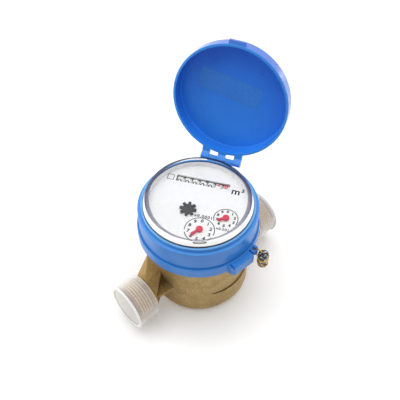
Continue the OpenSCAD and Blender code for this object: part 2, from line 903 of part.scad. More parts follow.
module dial_plate() {
    slot_h = roller_r;
    slot_in = 0.2;
    color(white) difference() {
        union() {
            disc(dial_r, dial_z, dial_face);
            ring(dial_r - 1, dial_r, dial_seat, dial_face + dial_rim_h);
        }
        dial_frame() {
            translate([row_left + slot_in, row_up - slot_h / 2, dial_z - 1])
                cube([row_right - row_left - 2 * slot_in, slot_h, dial_t + 2]);
            for (p = [star_at, fine_at, coarse_at]) at(p, dial_z - 1)
                cylinder(r = arbor_r + fit_gap, h = dial_t + 2);
        }
    }
}

module glass_gasket() {
    color(white) ring(cup_bore_r, flange_r, cup_top, flange_z);
}

module register_glass() {
    color(clear) rotate_extrude() polygon([
        [0, glass_under], [glass_bore_r, glass_under], [glass_bore_r, flange_z], [flange_r, flange_z],
        [flange_r, flange_top], [glass_r, flange_top], [glass_r, rim_z + 0.4],
        [glass_top_r, glass_top], [0, glass_top]]);
}

// Outline of one hinge ear of the shroud, in the hinge's own frame
function ear_outline() = [
    [-hinge_out - 2, hinge_drop - free_gap], [-knuckle_r * 0.6, hinge_drop - free_gap], [0, 0],
    [knuckle_r * 0.7, -knuckle_r * 0.7], [-hinge_out + 0.6, -ear_deep], [-hinge_out - 2, -ear_deep]];

// Outline of one hinge arm of the closed lid, in the hinge's own frame
function arm_outline() = [
    [0, knuckle_r], [-hinge_out - 3, arm_high], [-hinge_out - 3, hinge_drop + free_gap],
    [-hinge_out + 0.5, hinge_drop + free_gap], [-knuckle_r * 0.8, -knuckle_r * 0.55], [0, 0]];

module knuckle(y, outline) {
    translate([0, y + knuckle_w / 2, 0]) rotate([90, 0, 0]) linear_extrude(knuckle_w) polygon(outline);
    translate([0, y + knuckle_w / 2, 0]) rotate([90, 0, 0]) cylinder(r = knuckle_r, h = knuckle_w);
}

module pin_bore(clearance) {
    rotate([90, 0, 0]) cylinder(r = pin_r + clearance, h = 6 * knuckle_pitch, center = true);
}

module shroud() {
    color(blue) difference() {
        union() {
            disc(spigot_r, body_top, shroud_z + join);
            translate([0, 0, shroud_z]) rotate_extrude() {
                rounded_half(shroud_r, lid_seat_z - shroud_z, edge_round, edge_round);
                rounded_half(rebate_r, rim_z - shroud_z, 0, 0.3);
            }
            hinge_frame() for (s = [-1, 1]) knuckle(s * knuckle_pitch, ear_outline());
        }
        disc(shroud_bore_r, body_top - 1, flange_top);
        disc(rim_bore_r, body_top - 1, rim_z + 1);
        hinge_frame() pin_bore(set_gap);
    }
}

// Block with a flat outer face and one chamfered end
module seal_block() {
    low = band_z + 0.3;
    half = block_l / 2;
    root = band_bore_r - 1;
    translate([0, 0, low]) linear_extrude(band_top - 0.3 - low) polygon([
        [root, -half], [block_r - block_chamfer, -half], [block_r, -half + block_chamfer],
        [block_r, half], [root, half]]);
}

module clamp_band() {
    color(blue) difference() {
        union() {
            rotate_extrude() translate([0, band_z]) rounded_half(band_r, band_h, 0.6, 0.6);
            rotate([0, 0, block_az]) seal_block();
            rotate([0, 0, lug_az]) translate([lug_hole_at, 0, 0]) disc(lug_disc_r, lug_top - lug_t, lug_top);
            rotate([0, 0, lug_az]) translate([band_r - 1, -lug_neck_w / 2, lug_top - lug_t + 0.2])
                cube([lug_hole_at - band_r + 1, lug_neck_w, lug_t - 0.3]);
        }
        disc(band_bore_r, body_flange_z, band_top + 1);
        disc(body_r + free_gap, band_z - 1, body_flange_z + 1);
        rotate([0, 0, lug_az]) translate([lug_hole_at, 0, 0])
            disc(lug_hole_r, lug_top - lug_t - 1, band_top + 1);
        rotate([0, 0, block_az]) translate([band_r - 0.4, -block_l / 2 + slot_w, band_top - slot_deep])
            cube([block_proud + 1, slot_w, slot_deep + 1]);
    }
}

module closed_lid() {
    difference() {
        union() {
            translate([0, 0, lid_rim_z]) rotate_extrude()
                rounded_half(lid_r, lid_top - lid_rim_z, edge_round, lid_round);
            hinge_frame() for (s = [-2, 0, 2]) knuckle(s * knuckle_pitch, arm_outline());
            rotate([0, 0, hinge_az + 180]) translate([lid_r - 1, -tab_w / 2, lid_rim_z + 0.4])
                cube([tab_l + 1, tab_w, tab_t]);
        }
        translate([0, 0, lid_rim_z - 1]) rotate_extrude()
            rounded_half(lid_bore_r, lid_under - lid_rim_z + 1, 0, lid_corner);
        hinge_frame() pin_bore(run_gap);
    }
}

module lid() {
    color(blue) opened(lid_open) closed_lid();
}

module hinge_pin() {
    color(steel) hinge_frame() rotate([90, 0, 0])
        cylinder(r = pin_r, h = 5 * knuckle_pitch - 2 * knuckle_gap, center = true);
}

module seal_wire() {
    color([0.75, 0.6, 0.3]) rotate([0, 0, lug_az]) translate([loop_at, 0, loop_z]) rotate([90, 0, 0])
        rotate_extrude() translate([wire_loop_r, 0]) circle(wire_r);
}

module crimp_seal() {
    color(dark) rotate([0, 0, lug_az]) translate([seal_at, 0, seal_top - seal_l])
        rotate_extrude() rounded_half(seal_r, seal_l, 1.4, 1.4);
}

// Caps

module thread_cap() {
    length = cap_out - cap_rim;
    color([0.95, 0.95, 0.95, 0.5]) translate([cap_rim, 0, pipe_z]) rotate([0, 90, 0]) difference() {
        union() {
            cylinder(r1 = cap_r, r2 = cap_r + cap_flare * 0.5, h = length);
            translate([0, 0, length - cap_bead_w]) rotate_extrude()
                rounded_half(cap_r + cap_flare, cap_bead_w, 0.5, 0.7);
        }
        translate([0, 0, -1]) cylinder(r = cap_bore_r, h = length - cap_end_t + 1);
        translate([0, 0, length - 0.5]) cylinder(r = cap_r - 1.4, h = 1);
    }
}

module outlet_cap() {
    thread_cap();
}

module inlet_cap() {
    rotate([0, 0, 180]) translate([inlet_cap_out, 0, 0]) thread_cap();
}

meter_body();
inlet_spigot();
outlet_spigot();
inlet_strainer();
pivot_pin();
impeller();
drive_magnet();
pressure_plate();
plate_o_ring();
locking_ring();
magnetic_shield();
register_cup();
follower_magnet();
follower_arbor();
star_arbor();
leak_star();
first_idler();
fine_pointer_arbor();
fine_pointer();
second_idler();
coarse_pointer_arbor();
coarse_pointer();
third_idler();
counter_drive();
gear_bridge();
counter_shaft();
carry_shaft();
for (k = [1:rollers]) counter_roller(k);
for (k = [1:rollers - 1]) carry_pinion(k);
dial_plate();
glass_gasket();
register_glass();
shroud();
clamp_band();
lid();
hinge_pin();
seal_wire();
crimp_seal();
inlet_cap();
outlet_cap();
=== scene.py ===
"""Studio scene of a single-jet water meter: brass body, blue case with an open lid, dial under glass."""

import json
import math

import bpy
from mathutils import Matrix, Vector


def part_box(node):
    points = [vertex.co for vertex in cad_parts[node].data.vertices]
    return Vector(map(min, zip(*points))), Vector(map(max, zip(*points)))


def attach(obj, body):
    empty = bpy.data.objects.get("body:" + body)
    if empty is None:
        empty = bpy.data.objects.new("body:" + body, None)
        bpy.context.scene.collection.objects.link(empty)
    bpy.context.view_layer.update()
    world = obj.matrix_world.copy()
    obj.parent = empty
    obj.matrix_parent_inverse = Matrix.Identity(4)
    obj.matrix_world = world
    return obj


MM = 0.001

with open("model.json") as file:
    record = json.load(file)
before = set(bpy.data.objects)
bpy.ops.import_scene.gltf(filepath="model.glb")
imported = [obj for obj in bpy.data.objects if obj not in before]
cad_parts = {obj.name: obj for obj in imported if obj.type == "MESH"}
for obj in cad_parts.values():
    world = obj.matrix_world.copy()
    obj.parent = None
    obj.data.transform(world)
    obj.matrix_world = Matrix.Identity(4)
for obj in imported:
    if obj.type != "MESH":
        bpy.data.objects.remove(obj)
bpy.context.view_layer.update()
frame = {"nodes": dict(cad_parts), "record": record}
nodes = frame["nodes"]

# The dial's own directions, and the height that its print lies at
DIAL_TURN = math.radians(-55.8)
DIAL_RIGHT = Vector((math.cos(DIAL_TURN), math.sin(DIAL_TURN), 0))
DIAL_UP = Vector((-math.sin(DIAL_TURN), math.cos(DIAL_TURN), 0))
STAR_LIFT = 0.6 * MM
DIAL_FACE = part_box("leak_star")[0].z - STAR_LIFT
INK_LIFT = 0.03 * MM

# The body: distances out along the pipe, the pipe's axis and the step on the volute
NECK_START = 30 * MM
THREAD_START = 44.6 * MM
THREAD_R = 13.22 * MM
CAP_R = (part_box("outlet_cap")[1].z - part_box("outlet_cap")[0].z) / 2
PIPE_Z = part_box("outlet_cap")[0].z + CAP_R
STEP_Z = 21.0 * MM
VOLUTE_TURN = math.radians(-35)
VOLUTE_WAY = (math.cos(VOLUTE_TURN), math.sin(VOLUTE_TURN), 0)

# The way from the middle of the glass to its front, and the slope of its edge
GLASS_FRONT = (-0.636, -0.772, 0.0)
SLOPE_OUT, SLOPE_DOWN = 0.361, 0.933

# The open lid: its hinge, and the heights and radii that it has when closed
HINGE_TURN = math.radians(28.3)
HINGE_OUT = Vector((math.cos(HINGE_TURN), math.sin(HINGE_TURN), 0))
HINGE_ALONG = Vector((-math.sin(HINGE_TURN), math.cos(HINGE_TURN), 0))
HINGE_R = 40.6 * MM
HINGE_Z = 74.4 * MM
LID_OPEN = math.radians(106.2)
LID_UNDER = 84.6 * MM
LID_RIM = 75.6 * MM
LID_R = 36.9 * MM
SHROUD_SEAT = 75.3 * MM


def on_lid(outward, along, height):
    """Place on the open lid of a point that is stated for the closed lid."""
    out, rise = outward - HINGE_R, height - HINGE_Z
    c, s = math.cos(LID_OPEN), math.sin(LID_OPEN)
    return (HINGE_OUT * (HINGE_R + out * c + rise * s) + HINGE_ALONG * along
            + Vector((0, 0, HINGE_Z - out * s + rise * c)))


LID_CENTRE = on_lid(0, 0, LID_RIM)
LID_AXIS = (on_lid(0, 0, LID_UNDER) - LID_CENTRE).normalized()
LID_REACH = (LID_CENTRE - on_lid(LID_R, 0, LID_RIM)).normalized()


# Material tools


class Wire:
    """A socket in a material; sums on it add the nodes that work them out."""

    def __init__(self, tree, socket=None):
        self.tree = tree
        self.socket = socket

    def add(self, kind, settings=(), sockets=(), out=0):
        """Adds a node: its settings first, then the values or links of its sockets."""
        node = self.tree.nodes.new(kind)
        for key, value in dict(settings).items():
            setattr(node, key, value)
        for key, value in dict(sockets).items():
            if isinstance(value, Wire):
                self.tree.links.new(value.socket, node.inputs[key])
            else:
                node.inputs[key].default_value = value
        return Wire(self.tree, node.outputs[out] if len(node.outputs) else None)

    def sum(self, operation, first, second=0.0):
        return self.add("ShaderNodeMath", {"operation": operation}, {0: first, 1: second})

    def __add__(self, other):
        return self.sum("ADD", self, other)

    __radd__ = __add__

    def __rsub__(self, other):
        return self.sum("SUBTRACT", other, self)

    def __mul__(self, other):
        return self.sum("MULTIPLY", self, other)

    __rmul__ = __mul__

    def __truediv__(self, other):
        return self.sum("DIVIDE", self, other)

    def clamp(self, low, high, to_low=0.0, to_high=1.0):
        """Brings low..high to to_low..to_high and holds the ends."""
        return self.add("ShaderNodeMapRange", {"clamp": True},
                        {0: self, 1: low, 2: high, 3: to_low, 4: to_high})

    def blend(self, first, second):
        """Colour between two others, by this mask."""
        return self.add("ShaderNodeMix", {"data_type": "RGBA"}, {0: self, 6: first, 7: second}, out=2)


def rgb(red, green, blue):
    """Linear colour from the 0 to 255 values of a screen colour."""
    return tuple(((c / 255 + 0.055) / 1.055) ** 2.4 if c > 10 else c / 255 / 12.92
                 for c in (red, green, blue)) + (1.0,)


WHITE = (1, 1, 1, 1)


def new_material(name):
    """Empty material, a wire to add its nodes with, and the place on the surface."""
    material = bpy.data.materials.new(name)
    material.use_nodes = True
    tree = material.node_tree
    tree.nodes.clear()
    start = Wire(tree)
    return material, start, start.add("ShaderNodeTexCoord", out=3)


def finish(name, base, roughness, metallic=0.0, fixed=()):
    """New material; each value is a function of the place on the surface, or plain."""
    material, start, place = new_material(name)
    given = {"Base Color": base, "Roughness": roughness, "Metallic": metallic, **dict(fixed)}
    bump = given.pop("bump", None)
    sockets = {key: value(place) if callable(value) else value for key, value in given.items()}
    if bump:
        height, strength, distance = bump
        sockets["Normal"] = start.add("ShaderNodeBump", {}, {
            "Strength": strength, "Distance": distance, "Height": height(place)})
    shader = start.add("ShaderNodeBsdfPrincipled", {}, sockets)
    start.add("ShaderNodeOutputMaterial", {}, {"Surface": shader})
    return material


def mixed(factor, first, second):
    """Shader that goes from one to another."""
    return first.add("ShaderNodeMixShader", {}, {0: factor, 1: first, 2: second})


def seen_rays(start):
    """Mask of the rays that a picture shows: straight, mirrored, or through a clear piece."""
    kinds = ("Is Camera Ray", "Is Glossy Ray", "Is Transmission Ray")
    straight, mirrored, through = (start.add("ShaderNodeLightPath", out=kind) for kind in kinds)
    return (straight + mirrored + through).clamp(0, 1)


def noise(place, scale, detail=3.0, rough=0.5):
    return place.add("ShaderNodeTexNoise", {}, {
        "Vector": place, "Scale": scale, "Detail": detail, "Roughness": rough})


def mottle(place, scale, detail=3.0):
    """Noise spread over 0..1."""
    return noise(place, scale, detail).clamp(0.3, 0.7)


def cells(place, scale):
    return place.add("ShaderNodeTexVoronoi", {}, {"Vector": place, "Scale": scale})


def part_of(place, axis, both_ways=False):
    """One coordinate of the place, or how far it is from the middle."""
    value = place.add("ShaderNodeSeparateXYZ", {}, {0: place}, out="xyz".index(axis))
    return value.sum("ABSOLUTE", value) if both_ways else value


def vector_sum(operation, first, second=(0, 0, 0), out=0):
    return first.add("ShaderNodeVectorMath", {"operation": operation}, {0: first, 1: second}, out)


def along(place, direction):
    return vector_sum("DOT_PRODUCT", place, direction, out=1)


def length_of(place):
    return vector_sum("LENGTH", place, out=1)


def between(value, low, full, fade, high):
    """Mask that rises from low to full and falls from fade to high."""
    return value.clamp(low, full) * value.clamp(fade, high, 1.0, 0.0)


def greater(first, second):
    return first.sum("MAXIMUM", first, second)


def from_pipe(place):
    """Distance from the pipe's axis."""
    spot = vector_sum("SUBTRACT", place, (0, 0, PIPE_Z))
    return length_of(vector_sum("MULTIPLY", spot, (0, 1, 1)))


# Finishes


def grime(place):
    """Painted shade: a dark line above the volute's step and darkening in the corners between the webs and
    the necks.
    """
    height, side = part_of(place, "z"), part_of(place, "y")
    out, lean = part_of(place, "x", True), along(place, VOLUTE_WAY)
    step = between(height, STEP_Z - 0.2 * MM, STEP_Z, STEP_Z + 0.5 * MM, STEP_Z + 1.3 * MM)
    step = step * lean.clamp(4.5 * MM, 7.0 * MM) * lean.clamp(12 * MM, 25 * MM, 0.85, 0.3)
    step = step * side.clamp(-6 * MM, -2 * MM, 1.0, 0.0)
    corner = between(side, -9.0 * MM, -5.0 * MM, -1.4 * MM, -0.4 * MM)
    corner = corner * between(height, 24.6 * MM, 25.0 * MM, 30.2 * MM, 31.8 * MM)
    corner = corner * out.clamp(29 * MM, 32 * MM) * out.clamp(37 * MM, 41.6 * MM, 1.0, 0.3)
    return greater(step, corner * noise(place, 420, 3).clamp(0.35, 0.6, 0.12, 0.36))


def cast_brass():
    """Sand-cast brass, deeper in tone on the necks, with painted shade by the volute's step and in the web
    corners, and painted highlights on the thread crests with painted shade in their roots.
    """
    def base(place):
        colour = mottle(place, 120, 4).blend(rgb(160, 131, 79), rgb(182, 154, 99))
        dust = noise(place, 1100, 2).clamp(0.52, 0.7)
        colour = (dust * 0.4).blend(colour, rgb(226, 206, 164))
        pits = cells(place, 800).clamp(0.0, 0.26, 1.0, 0.0)
        colour = (pits * 0.5).blend(colour, rgb(104, 80, 44))
        out = part_of(place, "x", True)
        necks = out.clamp(NECK_START, NECK_START + 4 * MM, 0.0, 0.45)
        colour = necks.blend(colour, rgb(146, 112, 54))
        # painted shade: dark brown above the volute's step and in the web corners
        colour = grime(place).blend(colour, rgb(62, 43, 20))
        cut = out.clamp(THREAD_START, THREAD_START + 0.4 * MM)
        # painted highlight on the thread crests and painted shade in the roots, fainter near the body
        crest_highlight = from_pipe(place).clamp(THREAD_R - 1.0 * MM, THREAD_R - 0.3 * MM)
        crest_highlight = crest_highlight * out.clamp(THREAD_START + 2 * MM, THREAD_START + 5 * MM, 0.3, 1.0)
        return cut.blend(colour, crest_highlight.blend(rgb(190, 146, 92), rgb(246, 222, 180)))

    def grain(place):
        return noise(place, 1500, 4, 0.65) * 0.8 + noise(place, 330, 2) * 0.5

    return finish("sand_cast_brass", base, lambda p: noise(p, 500).clamp(0.3, 0.7, 0.4, 0.56), 0.6,
                  {"bump": (grain, 0.7, 0.0007), "Specular IOR Level": 0.4})


def turned_brass():
    return finish("turned_brass", lambda p: mottle(p, 200).blend(rgb(178, 150, 92), rgb(205, 178, 118)),
                  lambda p: noise(p, 700).clamp(0.3, 0.7, 0.25, 0.4), 0.9)


def blue_plastic(name, deep, light, gloss, edge=None, pale=None, polish=0.0, specular=0.45, bounce_light=None):
    """Moulded plastic; masks say where a painted highlight lies on its edges, where it shines and where
    painted bounce light gives it its light tone.
    """
    def base(place):
        tone = mottle(place, 60, 2)
        # painted bounce light: the mask mostly sets the light tone
        if bounce_light:
            tone = tone * 0.15 + bounce_light(place) * 0.85
        colour = tone.blend(deep, light)
        if edge:
            # painted highlight in the pale colour, broken up by noise
            edge_highlight = edge(place) * noise(place, 700, 2).clamp(0.2, 0.6, 0.75, 1.0)
            colour = (edge_highlight * 0.7).blend(colour, pale)
        return colour

    return finish(name, base, lambda p: noise(p, 420, 3).clamp(0.3, 0.7, gloss, gloss + 0.1), 0.0,
                  {"bump": (lambda p: noise(p, 2600, 2), 0.06, 0.0002), "Specular IOR Level": specular,
                   "Coat Weight": polish, "Coat Roughness": 0.15})


def shroud_edge(place):
    """Painted highlight on the rim round the glass, and faintly on the seat for the lid."""
    height = part_of(place, "z")
    seat = height.clamp(SHROUD_SEAT - 0.4 * MM, SHROUD_SEAT, 0.0, 0.35)
    return seat + height.clamp(SHROUD_SEAT + 2.0 * MM, SHROUD_SEAT + 2.4 * MM, 0.0, 0.65)


def from_lid_centre(place):
    return vector_sum("SUBTRACT", place, LID_CENTRE)


def lid_edge(place):
    """Painted highlight on the flat edge of the lid's wall."""
    return along(from_lid_centre(place), LID_AXIS).clamp(0.25 * MM, 0.45 * MM, 1.0, 0.0)


def lid_outside(place):
    """Outer face of the lid's wall."""
    across = vector_sum("CROSS_PRODUCT", from_lid_centre(place), LID_AXIS)
    return length_of(across).clamp(LID_R - 0.5 * MM, LID_R - 0.2 * MM)


def lid_faded(place):
    """Painted bounce light: rises from the lid's tab to its hinge."""
    return along(from_lid_centre(place), LID_REACH).clamp(-28 * MM, 24 * MM, 1.0, 0.0)


def plain_plastic(name, dark, light, gloss=0.45, metallic=0.0, scale=300, specular=0.5):
    return finish(name, lambda p: mottle(p, scale).blend(dark, light),
                  lambda p: noise(p, scale * 3).clamp(0.3, 0.7, gloss - 0.05, gloss + 0.08), metallic,
                  {"bump": (lambda p: noise(p, 2200, 2), 0.08, 0.0002), "Specular IOR Level": specular})


def matt_plastic(name, dark, light):
    return plain_plastic(name, dark, light, 0.75, specular=0.15)


def seal_metal():
    """Black crimped seal with painted highlights: bright metal patches stand in for its glints."""
    def rubbed(place):
        return noise(place, 650, 3, 0.6).clamp(0.54, 0.6)

    def base(place):
        # painted highlight: bright patches on the black
        return rubbed(place).blend(rgb(26, 25, 29), rgb(216, 214, 214))

    return finish("seal_metal", base, lambda p: noise(p, 900).clamp(0.3, 0.7, 0.22, 0.4),
                  lambda p: rubbed(p) * 0.7,
                  {"bump": (lambda p: cells(p, 520) + rubbed(p) * -0.4, 0.8, 0.0006)})


def clear_glass():
    """Clear window with a painted dark reflection ring at its top edge, a bright slope and a painted shadow
    line at its foot.
    """
    material, start, place = new_material("clear_window")
    across = vector_sum("MULTIPLY", place, (1 / MM, 1 / MM, 0))
    radius = length_of(across)
    height = part_of(place, "z") * (1 / MM)
    ahead = along(across, GLASS_FRONT) / radius
    flank = 1.0 - ahead * ahead

    # The painted reflection ring is wider at the flanks and the back; these masks are in millimetres
    widened = radius + flank * 1.9 + ahead.clamp(-0.9, -0.4, 0.5, 0.0)
    ring = widened.clamp(31.3, 31.7) * radius.clamp(32.1, 32.3, 1.0, 0.0) * height.clamp(82.0, 82.4)
    foot = radius.clamp(33.3, 33.5) * height.clamp(79.0, 79.3, 1.0, 0.0)
    slope = radius.clamp(32.2, 32.3) * between(height, 79.0, 79.3, 82.6, 82.9) * ahead.clamp(-0.35, 0.05)

    clear = start.add("ShaderNodeBsdfTransparent", {}, {"Color": (0.99, 0.993, 0.997, 1)})
    shine = start.add("ShaderNodeBsdfGlossy", {}, {"Color": WHITE, "Roughness": 0.02})
    facing = start.add("ShaderNodeLayerWeight", {}, {"Blend": 0.5}, out=1)
    gloss = facing * facing * facing * 0.3 + noise(place, 90, 3).clamp(0.4, 0.8, 0.015, 0.03)
    reflection_tint = ahead.clamp(-0.8, -0.3).blend(rgb(40, 38, 60), rgb(92, 88, 116))
    dark_reflection = start.add("ShaderNodeBsdfPrincipled", {}, {"Base Color": reflection_tint, "Roughness": 0.1})
    bright = start.add("ShaderNodeBsdfGlossy", {}, {"Color": WHITE, "Roughness": 0.12})
    # painted shadow colour for the glass's foot
    dark = start.add("ShaderNodeBsdfPrincipled", {}, {"Base Color": rgb(34, 34, 62), "Roughness": 0.2})

    layers = mixed(gloss, clear, shine)
    # painted dark reflection, darker and stronger at the back
    layers = mixed(ring * ahead.clamp(-0.8, -0.3, 0.92, 0.72), layers, dark_reflection)
    layers = mixed(slope * 0.85, layers, bright)
    # painted shadow: a dark line at the glass's foot, in the gap above the rim, strongest at the front
    layers = mixed(foot * ahead.clamp(-0.4, 0.2, 0.0, 0.88), layers, dark)
    start.add("ShaderNodeOutputMaterial", {}, {"Surface": layers})
    return material


def cap_plastic(name, opening, end):
    """Clear cap that lets the thread show through, milky at both ends, which are these distances out."""
    material, start, place = new_material(name)
    out, radius = part_of(place, "x", True), from_pipe(place)
    rim_low, rim_high = CAP_R - 2.4 * MM, CAP_R - 2.1 * MM
    disc = out.clamp(end - 1.7 * MM, end - 1.4 * MM) * radius.clamp(rim_low, rim_high, 1.0, 0.0)
    bead = out.clamp(end - 0.9 * MM, end - 0.6 * MM) * radius.clamp(rim_low, rim_high)
    mouth = out.clamp(opening + 0.3 * MM, opening + 0.7 * MM, 1.0, 0.0)
    # milky band for a lip ring across the cap; its whiteness is partly painted highlight
    lip_highlight = between(out, opening + 3.2 * MM, opening + 3.5 * MM, opening + 3.8 * MM, opening + 4.1 * MM)
    milk = mottle(place, 70, 2).blend(rgb(240, 238, 235), rgb(250, 249, 247))
    # painted shade: the sunken end disc is greyer
    milk = disc.blend(milk, rgb(214, 208, 201))
    ripple = start.add("ShaderNodeBump", {}, {
        "Strength": 0.05, "Distance": 0.0003, "Height": noise(place, 500, 2)})
    skin = start.add("ShaderNodeBsdfPrincipled", {}, {
        "Base Color": milk, "Normal": ripple, "Roughness": noise(place, 300).clamp(0.3, 0.7, 0.08, 0.14)})
    clear = start.add("ShaderNodeBsdfTransparent", {}, {"Color": (0.985, 0.98, 0.97, 1)})
    shine = start.add("ShaderNodeBsdfGlossy", {}, {"Color": WHITE, "Roughness": 0.05})
    veil = start.add("ShaderNodeLayerWeight", {}, {"Blend": 0.3}, out=1)
    thick = greater(disc * 0.74, (bead + mouth * 0.5 + lip_highlight * 0.4) * 0.9)
    layers = mixed(greater(thick, veil.clamp(0.05, 0.9, 0.16, 0.78)), clear, skin)
    layers = mixed(veil * veil * 0.3 + 0.03, layers, shine)
    start.add("ShaderNodeOutputMaterial", {}, {"Surface": layers})
    return material


finishes = {
    "cast_brass": cast_brass(),
    "turned_brass": turned_brass(),
    # blue_case: the pale colour is a painted highlight on the rim and the lid's seat
    "blue_case": blue_plastic("blue_case", rgb(44, 122, 204), rgb(54, 132, 212), 0.3,
                              shroud_edge, rgb(126, 190, 242)),
    # blue_lid: the pale colour is a painted highlight on the edge of the lid's wall
    "blue_lid": blue_plastic("blue_lid", rgb(30, 100, 208), rgb(50, 136, 232), 0.26,
                             # painted bounce light: the lid is lighter towards its hinge
                             lid_edge, rgb(62, 146, 226), polish=lid_outside, specular=0.2, bounce_light=lid_faded),
    "label_film": blue_plastic("label_film", rgb(38, 112, 202), rgb(48, 120, 208), 0.24, specular=0.25),
    "clear_window": clear_glass(),
    "inlet_cap": cap_plastic("inlet_cap_plastic", -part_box("inlet_cap")[1].x, -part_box("inlet_cap")[0].x),
    "outlet_cap": cap_plastic("outlet_cap_plastic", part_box("outlet_cap")[0].x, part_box("outlet_cap")[1].x),
    "natural_plastic": plain_plastic("natural_plastic", rgb(214, 208, 192), rgb(228, 222, 208)),
    "gear_plastic": plain_plastic("gear_plastic", rgb(236, 234, 226), rgb(244, 242, 236)),
    "white_rubber": plain_plastic("white_rubber", rgb(234, 234, 232), rgb(242, 242, 240), 0.6),
    "black_rubber": plain_plastic("black_rubber", rgb(30, 30, 34), rgb(42, 42, 46), 0.6),
    "magnet": plain_plastic("sintered_magnet", rgb(48, 48, 50), rgb(66, 66, 68), 0.6),
    "steel": plain_plastic("drawn_steel", rgb(176, 178, 182), rgb(200, 202, 206), 0.3, 1.0),
    "seal_metal": seal_metal(),
    "seal_wire": plain_plastic("seal_wire", rgb(196, 154, 76), rgb(222, 184, 104), 0.3, 0.9),
    "dial_white": matt_plastic("dial_white", rgb(239, 238, 236), rgb(244, 243, 241)),
    "pointer_red": matt_plastic("pointer_red", rgb(204, 48, 74), rgb(214, 62, 88)),
    "roller_white": matt_plastic("roller_white", rgb(238, 238, 236), rgb(246, 246, 244)),
    "star_grey": matt_plastic("star_grey", rgb(52, 52, 56), rgb(70, 70, 74)),
    "ink_black": matt_plastic("ink_black", rgb(30, 30, 34), rgb(44, 44, 48)),
    "ink_red": matt_plastic("ink_red", rgb(200, 38, 46), rgb(214, 54, 60)),
}
SLOT_FINISH = {"blue_plastic": "blue_case"}
NODE_FINISH = {"lid": "blue_lid", "inlet_cap": "inlet_cap", "outlet_cap": "outlet_cap"}
for part in frame["record"]["subparts"]:
    slot = part["material_slot"]
    mesh = nodes[part["node"]].data
    mesh.materials.clear()
    mesh.materials.append(finishes[NODE_FINISH.get(part["node"], SLOT_FINISH.get(slot, slot))])


# Mesh tools


class Sheet:
    """Collects outlines into one mesh."""

    def __init__(self):
        self.points = []
        self.faces = []

    def take(self, points, faces, place):
        first = len(self.points)
        self.points += [place(p) for p in points]
        self.faces += [tuple(first + i for i in f) for f in faces]

    def lay(self, name, body, finish_name):
        mesh = bpy.data.meshes.new(name)
        mesh.from_pydata(self.points, [], self.faces)
        mesh.update()
        piece = bpy.data.objects.new(name, mesh)
        bpy.context.scene.collection.objects.link(piece)
        mesh.materials.append(finishes[finish_name])
        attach(piece, body)
        return piece


CAPITAL_SHARE = 0.7


def glyph_mesh(words, height, bold=0.0, spacing=1.0):
    """Vertices and faces of words, centred on the origin, with capitals of that height."""
    curve = bpy.data.curves.new("words", "FONT")
    curve.body = words
    curve.align_x = "CENTER"
    curve.align_y = "CENTER"
    curve.size = height / CAPITAL_SHARE
    curve.offset = bold
    curve.space_character = spacing
    curve.resolution_u = 3
    holder = bpy.data.objects.new("words", curve)
    bpy.context.scene.collection.objects.link(holder)
    dg = bpy.context.evaluated_depsgraph_get()
    mesh = bpy.data.meshes.new_from_object(holder.evaluated_get(dg))
    points = [v.co.copy() for v in mesh.vertices]
    faces = [tuple(p.vertices) for p in mesh.polygons]
    bpy.data.objects.remove(holder)
    bpy.data.curves.remove(curve)
    bpy.data.meshes.remove(mesh)
    return points, faces


def arc_strip(radius, width, start, end, steps=64):
    """Flat strip along a circle, angles in degrees counter-clockwise from the right."""
    points, faces = [], []
    for i in range(steps + 1):
        a = math.radians(start + (end - start) * i / steps)
        for r in (radius - width / 2, radius + width / 2):
            points.append(Vector((r * math.cos(a), r * math.sin(a), 0)))
        if i:
            faces.append((2 * i - 2, 2 * i - 1, 2 * i + 1, 2 * i))
    return points, faces


def bar(x0, y0, x1, y1):
    corners = ((x0, y0), (x1, y0), (x1, y1), (x0, y1))
    return [Vector((x, y, 0)) for x, y in corners], [(0, 1, 2, 3)]


def closed_tube(path, radius, sides=10):
    """Points and faces of a round wire along a path that ends where it starts."""
    points, faces = [], []
    count = len(path)
    for i, p in enumerate(path):
        way = (path[(i + 1) % count] - path[i - 1]).normalized()
        side = way.orthogonal().normalized() if i == 0 else (side - way * side.dot(way)).normalized()
        other = way.cross(side)
        for j in range(sides):
            a = 2 * math.pi * j / sides
            points.append(p + side * radius * math.cos(a) + other * radius * math.sin(a))
    for i in range(count):
        a, b = i * sides, (i + 1) % count * sides
        faces += [(a + j, a + (j + 1) % sides, b + (j + 1) % sides, b + j) for j in range(sides)]
    return points, faces


def circle_angles(steps):
    return [2 * math.pi * i / steps for i in range(steps)]


def smooth(piece):
    for face in piece.data.polygons:
        face.use_smooth = True


# Print on the dial; its places and sizes are in millimetres

SCALE_LINE = 0.5
SCALE_BOLD = 0.14
FINE_CENTRE, FINE_RING_R, FINE_DIGIT_R, FINE_DIGIT_H = (5.7, -19.1), 8.9, 6.7, 2.2
FINE_ARCS = ((-12, 192), (204, 336))
COARSE_CENTRE, COARSE_RING_R, COARSE_DIGIT_R, COARSE_DIGIT_H = (18.8, -7.2), 7.25, 5.4, 1.9
COARSE_ARCS = ((-25, 205),)
# Words with their height, thickening, spacing and place
DIAL_WORDS = (
    ("x0.0001", 2.0, 0.09, 1.25, (5.6, -9.0)),
    ("x0.001", 1.7, 0.08, 1.2, (18.75, -15.3)),
    ("m", 5.0, 0.16, 1.0, (20.0, 14.6)),
    ("3", 2.4, 0.18, 1.0, (24.2, 16.2)),
)
BOX_LOW, BOX_HIGH, BOX_LINE = (-24.3, 14.3), (-20.0, 18.7), 0.4


def on_dial(u, v):
    """Function that brings a flat outline to a place on the dial."""
    def place(p):
        return (DIAL_RIGHT * (u * MM + p.x) + DIAL_UP * (v * MM + p.y)
                + Vector((0, 0, DIAL_FACE + INK_LIFT)))

    return place


